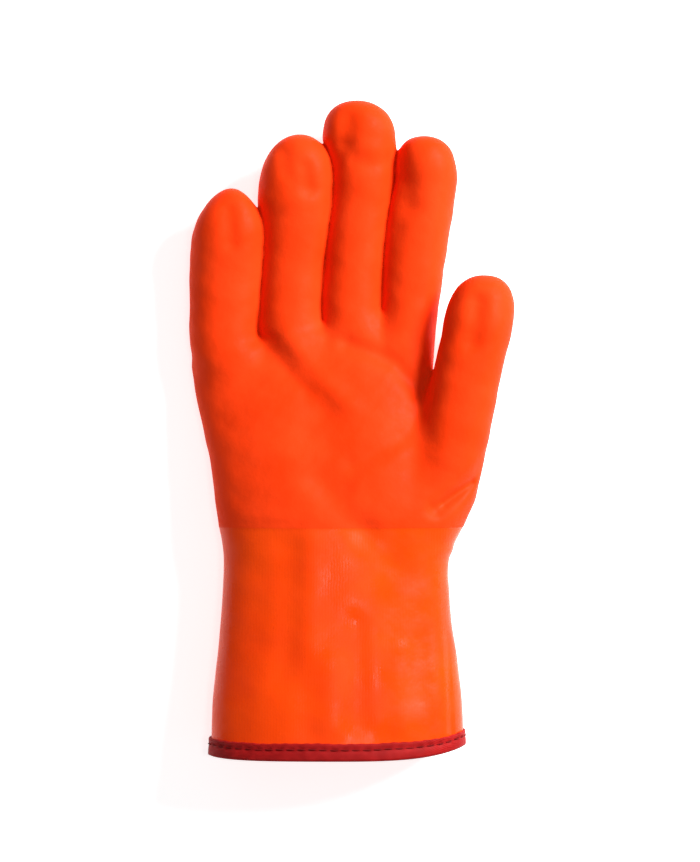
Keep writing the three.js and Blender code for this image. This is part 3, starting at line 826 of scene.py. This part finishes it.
def cuff_coating():
    """The glossier coat of the cuff, with the knit showing through as faint bands."""
    tree, shader, made = material("cuff_coating", (0.95, 0.06, 0.002), 0.26)
    tinted(tree, shader, noise(tree, 34, 4), (0.70, 0.041, 0.001), (0.77, 0.056, 0.0015))
    tree.links.new(ramp(tree, noise(tree, 75, 3), 0.17, 0.42), shader.inputs["Roughness"])
    dimples, knit, pores = noise(tree, 150, 2), bands(tree, "X", 240, 3), noise(tree, 700, 2)
    bumped(tree, shader, [(dimples, 0.12), (knit, 0.012), (pores, 0.03)])
    shader.inputs["Specular IOR Level"].default_value = 0.13
    # A painted red glow that brightens the shaded sides.
    painted_glow(shader, PAINTED_GLOW)
    return made


def tape_cloth(name, dark, light, rough):
    """The woven tape, and the thread in a darker red, partly its own colour and partly painted
    shade of its needle holes.
    """
    tree, shader, made = material(name, light, rough)
    tinted(tree, shader, noise(tree, 160, 4), dark, light)
    weave = bands(tree, "DIAGONAL", 700, 1.5)
    bumped(tree, shader, [(noise(tree, 320, 3), 0.25), (weave, 0.07)])
    shader.inputs["Specular IOR Level"].default_value = 0.06
    return made


TAPE_RED = ((0.25, 0.005, 0.005), (0.36, 0.0085, 0.0085))
# The thread's darker red is partly its own colour and partly painted shade, the shade that lies in
# the stitches' needle holes.
THREAD_RED_AND_SHADE = ((0.12, 0.003, 0.003), (0.19, 0.0055, 0.0055))
hand.data.materials.append(hand_coating())
cuff.data.materials.append(cuff_coating())
tape.data.materials.append(tape_cloth("binding_tape", *TAPE_RED, 0.5))
threads.data.materials.append(tape_cloth("binding_thread", *THREAD_RED_AND_SHADE, 0.6))

for piece in (hand, cuff, tape, threads):
    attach(piece, "root")
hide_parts("hand_shell")
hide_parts("gauntlet_cuff")
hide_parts("hem_binding")

# The floor, the light and the camera.

scene = bpy.context.scene
scene.view_settings.view_transform = "Standard"

FLOOR = 3.0  # half the floor's side, in metres
floor = new_object(
    "floor",
    new_mesh(
        "floor",
        [[-FLOOR, -FLOOR, 0], [FLOOR, -FLOOR, 0], [FLOOR, FLOOR, 0], [-FLOOR, FLOOR, 0]],
        [[0, 1, 2, 3]],
    ),
)
floor.location.z = -0.02 * MM
paper_tree, paper, paper_material = material("floor_paper", (0.93, 0.93, 0.93), 0.9)
paper.inputs["Emission Color"].default_value = (1, 1, 1, 1)
paper.inputs["Emission Strength"].default_value = 0.7
floor.data.materials.append(paper_material)

world = bpy.data.worlds.new("studio")
scene.world = world
world.use_nodes = True
world.node_tree.nodes["Background"].inputs["Color"].default_value = (1, 1, 1, 1)
world.node_tree.nodes["Background"].inputs["Strength"].default_value = 0.24


def area_light(name, at, size, power):
    light = bpy.data.lights.new(name, "AREA")
    light.shape = "DISK"
    light.size = size
    light.energy = power
    made = bpy.data.objects.new(name, light)
    scene.collection.objects.link(made)
    made.location = at
    made.rotation_mode = "QUATERNION"
    made.rotation_quaternion = (-Vector(at)).to_track_quat("-Z", "Y")


# Each light's place in metres, size and power.
area_light("key", (0.82, 0.5, 0.74), 0.5, 32)
area_light("top", (0.13, -0.03, 1.3), 0.12, 1.2)

camera_data = bpy.data.cameras.new("camera")
camera_data.lens = CAMERA["lens"]
camera_data.sensor_width = CAMERA["sensor"]
camera_data.clip_start = 0.05
camera = bpy.data.objects.new("camera", camera_data)
camera.location = CAMERA["at"]
scene.collection.objects.link(camera)
scene.camera = camera
